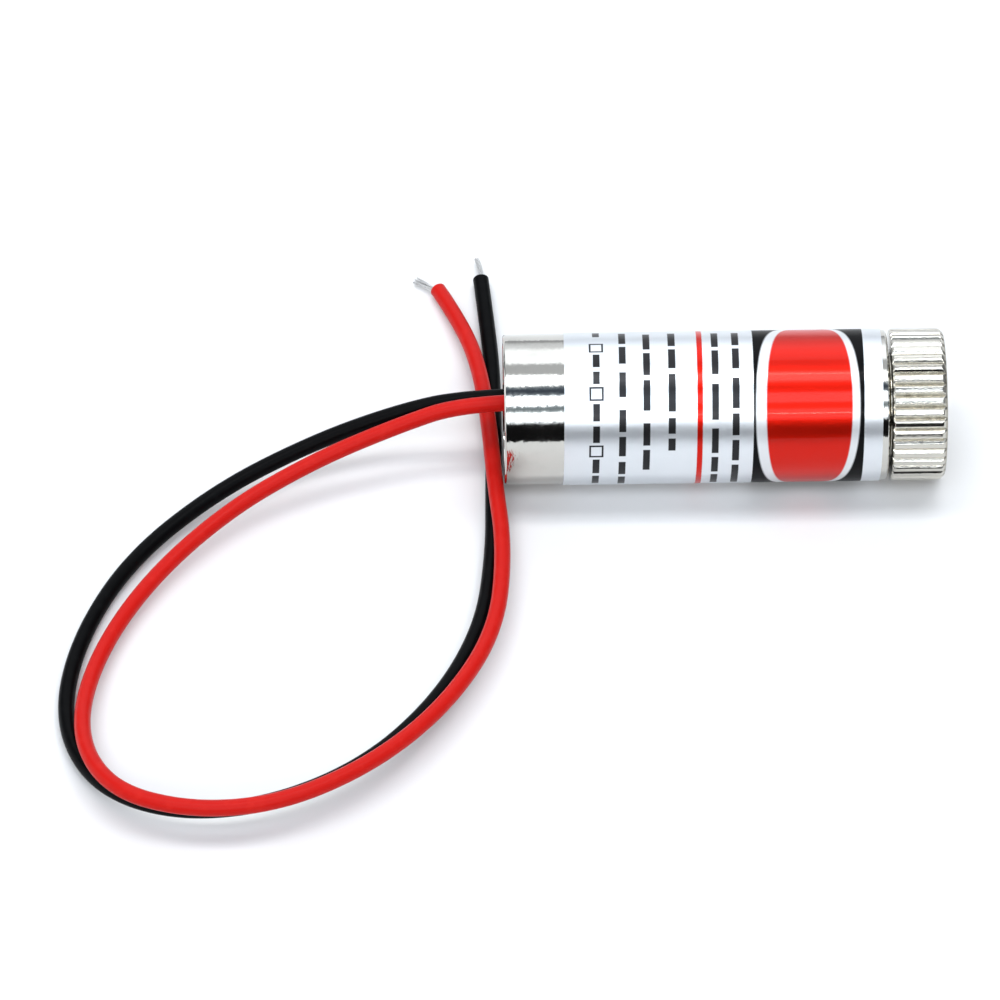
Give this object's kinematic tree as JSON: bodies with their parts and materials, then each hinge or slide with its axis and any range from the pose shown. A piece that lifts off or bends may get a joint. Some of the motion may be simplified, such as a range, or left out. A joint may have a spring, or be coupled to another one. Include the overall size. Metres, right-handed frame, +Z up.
{
  "type": "laser diode module",
  "caption": "Cylindrical laser diode module: nickel-plated barrel with a printed foil label, fluted focusing head at the front and red and black supply leads at the rear.",
  "frame": {"origin": "middle of the module's length, directly below the beam axis, on the surface the module lies on", "axes": "+X along the beam from the rear face towards the focusing head, +Z up from the surface, +Y away from the side with the loop of the leads"},
  "size_m": [0.0706, 0.0613, 0.0122],
  "materials": {
    "nickel": "polished",
    "foil": "satin",
    "lens_glass": "polished",
    "bare_brass": "satin",
    "spring_steel": "satin",
    "gold_plate": "polished",
    "chip_grey": "satin",
    "seal_glass": "gloss",
    "can_steel": "satin",
    "board_green": "satin",
    "black_moulding": "matte",
    "capacitor_tan": "matte",
    "tinned": "satin",
    "potting": "satin",
    "red_pvc": "satin",
    "black_pvc": "satin"
  },
  "bodies": {
    "housing": {"barrel": "nickel", "foil_label": "foil", "diode_base": "gold_plate", "diode_submount": "chip_grey", "laser_chip": "chip_grey", "diode_pins": "gold_plate", "pin_seals": "seal_glass", "diode_can": "can_steel", "diode_window": "lens_glass", "driver_board": "board_green", "driver_transistor": "black_moulding", "transistor_legs": "tinned", "chip_resistors": "black_moulding", "chip_capacitor": "capacitor_tan", "solder_joints": "tinned", "rear_potting": "potting", "red_lead": "red_pvc", "black_lead": "black_pvc", "red_conductor": "tinned", "black_conductor": "tinned"},
    "spring": {"focus_spring": "spring_steel"},
    "focus_head": {"focus_knob": "nickel", "collimating_lens": "lens_glass", "lens_retainer": "bare_brass"}
  },
  "joints": [
    {"name": "focus_travel", "type": "slide", "parent": "housing", "child": "spring", "axis": [1, 0, 0], "range_m": [-0.00025, 0.002], "deforming": ["focus_spring"]},
    {"name": "focus_turn", "type": "hinge", "parent": "spring", "child": "focus_head", "pos_m": [0.01545, 0, 0.00608], "axis": [1, 0, 0], "range_deg": [-180.1, 1440.1]}
  ],
  "couplings": [
    {"joint": "focus_turn", "follows": "focus_travel", "rad_per_m": 12566}
  ]
}
